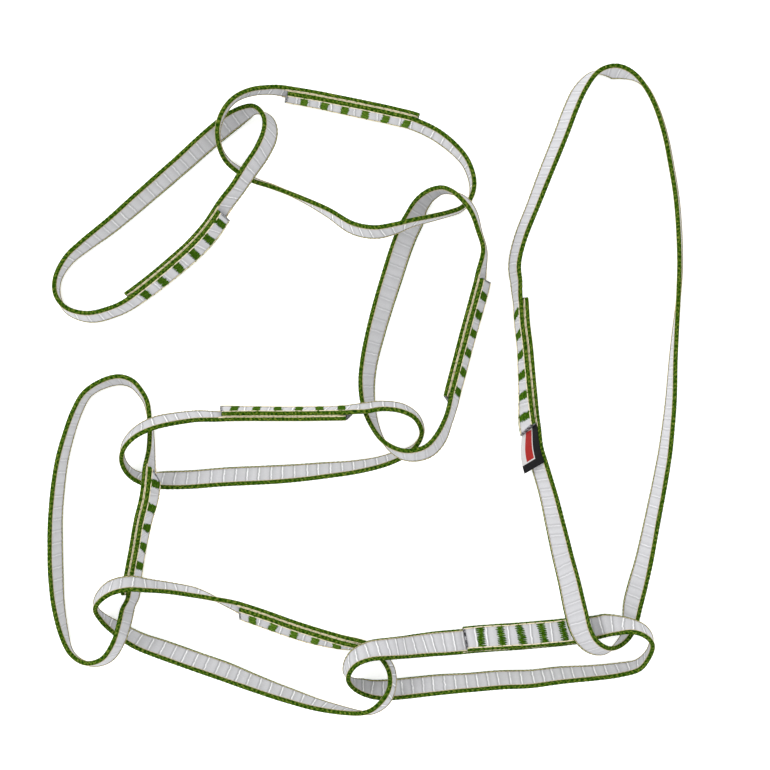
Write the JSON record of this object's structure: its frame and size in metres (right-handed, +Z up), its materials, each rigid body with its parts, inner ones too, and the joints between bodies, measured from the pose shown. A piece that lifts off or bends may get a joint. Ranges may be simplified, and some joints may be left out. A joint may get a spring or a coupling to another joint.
{
  "type": "webbing chain sling",
  "caption": "Chain of linked sewn webbing loops with green edges and bar tacks, a long tie-in loop and a label, laid in a ring on a flat surface.",
  "frame": {"origin": "centre of the bounding box in plan, on the table the chain lies on", "axes": "+Z up from the table, across the width of the tapes; +X and +Y in the table's plane, +Y along the long tie-in sling towards its far end, +X towards the tie-in sling from the small loops"},
  "size_m": [0.2921, 0.297, 0.0262],
  "materials": {
    "webbing": "woven white tape with a transverse rib",
    "selvedge": "thick braided green edge",
    "thread": "green zigzag bar tack",
    "label": "satin printed label, white and red with a black border"
  },
  "bodies": {
    "tie_in": {"tie_in_webbing": "webbing", "tie_in_selvedges": "selvedge", "tie_in_bar_tacks": "thread", "tie_in_label": "label"},
    "loop_1": {"loop_1_webbing": "webbing", "loop_1_selvedges": "selvedge", "loop_1_bar_tacks": "thread"},
    "loop_2": {"loop_2_webbing": "webbing", "loop_2_selvedges": "selvedge", "loop_2_bar_tacks": "thread"},
    "loop_3": {"loop_3_webbing": "webbing", "loop_3_selvedges": "selvedge", "loop_3_bar_tacks": "thread"},
    "loop_4": {"loop_4_webbing": "webbing", "loop_4_selvedges": "selvedge", "loop_4_bar_tacks": "thread"},
    "loop_5": {"loop_5_webbing": "webbing", "loop_5_selvedges": "selvedge", "loop_5_bar_tacks": "thread"},
    "loop_6": {"loop_6_webbing": "webbing", "loop_6_selvedges": "selvedge", "loop_6_bar_tacks": "thread"},
    "loop_7": {"loop_7_webbing": "webbing", "loop_7_selvedges": "selvedge", "loop_7_bar_tacks": "thread"}
  },
  "joints": [
    {"name": "link_1", "type": "hinge", "parent": "tie_in", "child": "loop_1", "pos_m": [0.104, -0.1084, 0.013], "axis": [0, 0, 1], "range_deg": [-2.5, 24]},
    {"name": "link_2", "type": "hinge", "parent": "loop_1", "child": "loop_2", "pos_m": [-0.0045, -0.1354, 0.013], "axis": [0, 0, 1], "range_deg": [-2.5, 24]},
    {"name": "link_3", "type": "hinge", "parent": "loop_2", "child": "loop_3", "pos_m": [-0.106, -0.0954, 0.013], "axis": [0, 0, 1], "range_deg": [-3, 34]},
    {"name": "link_4", "type": "hinge", "parent": "loop_3", "child": "loop_4", "pos_m": [-0.094, -0.0284, 0.013], "axis": [0, 0, -1], "range_deg": [-18, 7]},
    {"name": "link_5", "type": "hinge", "parent": "loop_4", "child": "loop_5", "pos_m": [0.006, -0.0184, 0.013], "axis": [0, 0, -1], "range_deg": [-13, 8]},
    {"name": "link_6", "type": "hinge", "parent": "loop_5", "child": "loop_6", "pos_m": [0.031, 0.0786, 0.013], "axis": [0, 0, 1], "range_deg": [-22, 9]},
    {"name": "link_7", "type": "hinge", "parent": "loop_6", "child": "loop_7", "pos_m": [-0.051, 0.1116, 0.013], "axis": [0, 0, 1], "range_deg": [-32, 20]}
  ]
}
